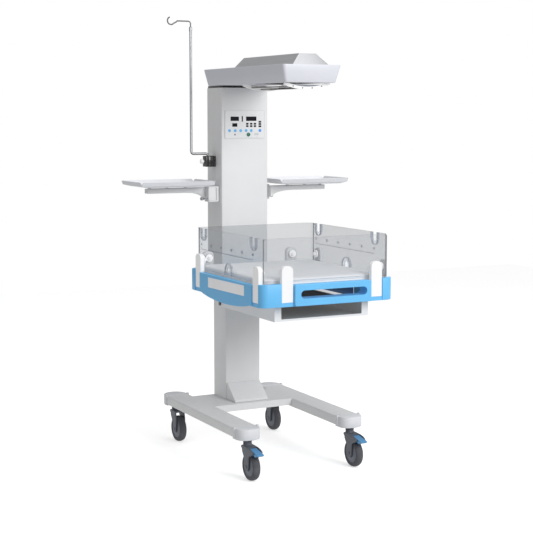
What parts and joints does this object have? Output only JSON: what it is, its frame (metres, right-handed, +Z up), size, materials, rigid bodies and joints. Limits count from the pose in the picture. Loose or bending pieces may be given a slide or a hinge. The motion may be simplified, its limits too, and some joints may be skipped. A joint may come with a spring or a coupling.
{
  "type": "infant radiant warmer",
  "caption": "Mobile infant radiant warmer: heater hood on a column, tilting bed with clear folding guards, side trays, infusion pole and casters.",
  "frame": {"origin": "on the floor, at the centre of the footprint's bounding box", "axes": "+Z up; the bed's foot end and the hood point to -Y; +X is to the right seen from the foot end"},
  "size_m": [1.09, 1.1181, 2.0295],
  "materials": {
    "painted_white": "warm white powder coat on sheet steel",
    "cap_white": "white moulded plastic",
    "hood_white": "cool white satin paint",
    "brushed_grey": "brushed",
    "steel": "polished stainless steel",
    "heater_metal": "dark oxidised heater sheath",
    "frame_blue": "light blue moulded plastic",
    "pedal_blue": "blue moulded plastic",
    "clip_white": "white moulded plastic",
    "clear_acrylic": "clear acrylic sheet",
    "mattress_cover": "wipeable coated cover",
    "caster_plastic": "dark blue-grey plastic",
    "tyre": "dark grey tread",
    "hub_plastic": "grey plastic",
    "panel_plastic": "pale blue-grey membrane panel",
    "black_metal": "black coat",
    "knob_plastic": "dark grey plastic knob on a screw",
    "knob_white": "white plastic wing knob on a screw"
  },
  "bodies": {
    "frame": {"base_frame": "painted_white", "leg_cap_fl": "cap_white", "leg_cap_fr": "cap_white", "leg_cap_rl": "cap_white", "leg_cap_rr": "cap_white", "lower_column": "painted_white", "column_gusset": "painted_white", "upper_column": "painted_white", "control_panel": "panel_plastic", "hood_swivel": "black_metal", "shelf_mount_left": "painted_white", "shelf_mount_right": "painted_white", "iv_clamp": "black_metal", "bed_bracket": "painted_white", "tilt_shaft": "black_metal"},
    "caster_fl": {"caster_fork_fl": "caster_plastic"},
    "caster_fr": {"caster_fork_fr": "caster_plastic"},
    "caster_rl": {"caster_fork_rl": "caster_plastic"},
    "caster_rr": {"caster_fork_rr": "caster_plastic"},
    "wheel_fl": {"caster_tyre_fl": "tyre", "caster_hub_fl": "hub_plastic"},
    "wheel_fr": {"caster_tyre_fr": "tyre", "caster_hub_fr": "hub_plastic"},
    "wheel_rl": {"caster_tyre_rl": "tyre", "caster_hub_rl": "hub_plastic"},
    "wheel_rr": {"caster_tyre_rr": "tyre", "caster_hub_rr": "hub_plastic"},
    "pedal_fl": {"brake_pedal_fl": "pedal_blue"},
    "pedal_fr": {"brake_pedal_fr": "pedal_blue"},
    "hood": {"hood_body": "hood_white", "hood_ridge": "brushed_grey", "reflector": "steel", "heater_element": "heater_metal", "heater_guard": "hood_white"},
    "shelf_left": {"shelf_arm_left": "painted_white", "shelf_tray_left": "painted_white"},
    "shelf_right": {"shelf_arm_right": "painted_white", "shelf_tray_right": "painted_white"},
    "lock_left": {"shelf_lock_left": "knob_plastic"},
    "lock_right": {"shelf_lock_right": "knob_plastic"},
    "pole": {"iv_pole": "steel"},
    "hook": {"iv_hook": "steel"},
    "knob": {"iv_knob": "knob_white"},
    "bed": {"bed_frame": "frame_blue", "bed_deck": "clip_white", "bed_runners": "painted_white", "mattress": "mattress_cover", "storage_box": "painted_white", "guard_rear": "clear_acrylic", "clip_rear_left": "clip_white", "clip_rear_right": "clip_white"},
    "panel_front": {"guard_front": "clear_acrylic", "clip_front_left": "clip_white", "clip_front_right": "clip_white"},
    "panel_left": {"guard_left": "clear_acrylic", "clip_left_front": "clip_white", "clip_left_rear": "clip_white"},
    "panel_right": {"guard_right": "clear_acrylic", "clip_right_front": "clip_white", "clip_right_rear": "clip_white"}
  },
  "joints": [
    {"name": "caster_swivel_fl", "type": "hinge", "parent": "frame", "child": "caster_fl", "pos_m": [-0.25825, -0.2933, 0.177], "axis": [0, 0, 1], "continuous": true},
    {"name": "caster_swivel_fr", "type": "hinge", "parent": "frame", "child": "caster_fr", "pos_m": [0.25825, -0.2933, 0.177], "axis": [0, 0, 1], "continuous": true},
    {"name": "caster_swivel_rl", "type": "hinge", "parent": "frame", "child": "caster_rl", "pos_m": [-0.25825, 0.5011, 0.177], "axis": [0, 0, 1], "continuous": true},
    {"name": "caster_swivel_rr", "type": "hinge", "parent": "frame", "child": "caster_rr", "pos_m": [0.25825, 0.5011, 0.177], "axis": [0, 0, 1], "continuous": true},
    {"name": "wheel_spin_fl", "type": "hinge", "parent": "caster_fl", "child": "wheel_fl", "pos_m": [-0.25825, -0.3303, 0.0625], "axis": [1, 0, 0], "continuous": true},
    {"name": "wheel_spin_fr", "type": "hinge", "parent": "caster_fr", "child": "wheel_fr", "pos_m": [0.25825, -0.3303, 0.0625], "axis": [1, 0, 0], "continuous": true},
    {"name": "wheel_spin_rl", "type": "hinge", "parent": "caster_rl", "child": "wheel_rl", "pos_m": [-0.25825, 0.4641, 0.0625], "axis": [1, 0, 0], "continuous": true},
    {"name": "wheel_spin_rr", "type": "hinge", "parent": "caster_rr", "child": "wheel_rr", "pos_m": [0.25825, 0.4641, 0.0625], "axis": [1, 0, 0], "continuous": true},
    {"name": "brake_press_fl", "type": "hinge", "parent": "caster_fl", "child": "pedal_fl", "pos_m": [-0.25825, -0.3498, 0.1385], "axis": [1, 0, 0], "range_deg": [0, 6]},
    {"name": "brake_press_fr", "type": "hinge", "parent": "caster_fr", "child": "pedal_fr", "pos_m": [0.25825, -0.3498, 0.1385], "axis": [1, 0, 0], "range_deg": [0, 6]},
    {"name": "hood_swivel", "type": "hinge", "parent": "frame", "child": "hood", "pos_m": [0, 0.3365, 1.716], "axis": [0, 0, 1], "range_deg": [-45, 90]},
    {"name": "shelf_swing_left", "type": "hinge", "parent": "frame", "child": "shelf_left", "pos_m": [-0.157, 0.2885, 1.21], "axis": [0, 0, 1], "range_deg": [-18, 45]},
    {"name": "shelf_swing_right", "type": "hinge", "parent": "frame", "child": "shelf_right", "pos_m": [0.157, 0.3845, 1.21], "axis": [0, 0, 1], "range_deg": [-18, 45]},
    {"name": "shelf_lock_left", "type": "hinge", "parent": "shelf_left", "child": "lock_left", "pos_m": [-0.1775, 0.2885, 1.19], "axis": [1, 0, 0], "range_deg": [-90, 90]},
    {"name": "shelf_lock_right", "type": "hinge", "parent": "shelf_right", "child": "lock_right", "pos_m": [0.1775, 0.3845, 1.19], "axis": [1, 0, 0], "range_deg": [-90, 90]},
    {"name": "pole_swivel", "type": "hinge", "parent": "frame", "child": "pole", "pos_m": [-0.152, 0.339, 1.36], "axis": [0, 0, 1], "range_deg": [-85, 85]},
    {"name": "hook_slide", "type": "slide", "parent": "pole", "child": "hook", "axis": [0, 0, 1], "range_m": [0, 0.25]},
    {"name": "pole_knob", "type": "hinge", "parent": "frame", "child": "knob", "pos_m": [-0.18, 0.339, 1.3625], "axis": [1, 0, 0], "range_deg": [-90, 90]},
    {"name": "bed_tilt", "type": "hinge", "parent": "frame", "child": "bed", "pos_m": [0, 0.062, 0.724], "axis": [1, 0, 0], "range_deg": [-10, 10]},
    {"name": "panel_fold_front", "type": "hinge", "parent": "bed", "child": "panel_front", "pos_m": [0, -0.549, 0.811], "axis": [1, 0, 0], "range_deg": [0, 175]},
    {"name": "panel_fold_left", "type": "hinge", "parent": "bed", "child": "panel_left", "pos_m": [-0.3205, -0.186, 0.811], "axis": [0, -1, 0], "range_deg": [0, 175]},
    {"name": "panel_fold_right", "type": "hinge", "parent": "bed", "child": "panel_right", "pos_m": [0.3205, -0.186, 0.811], "axis": [0, 1, 0], "range_deg": [0, 175]}
  ]
}
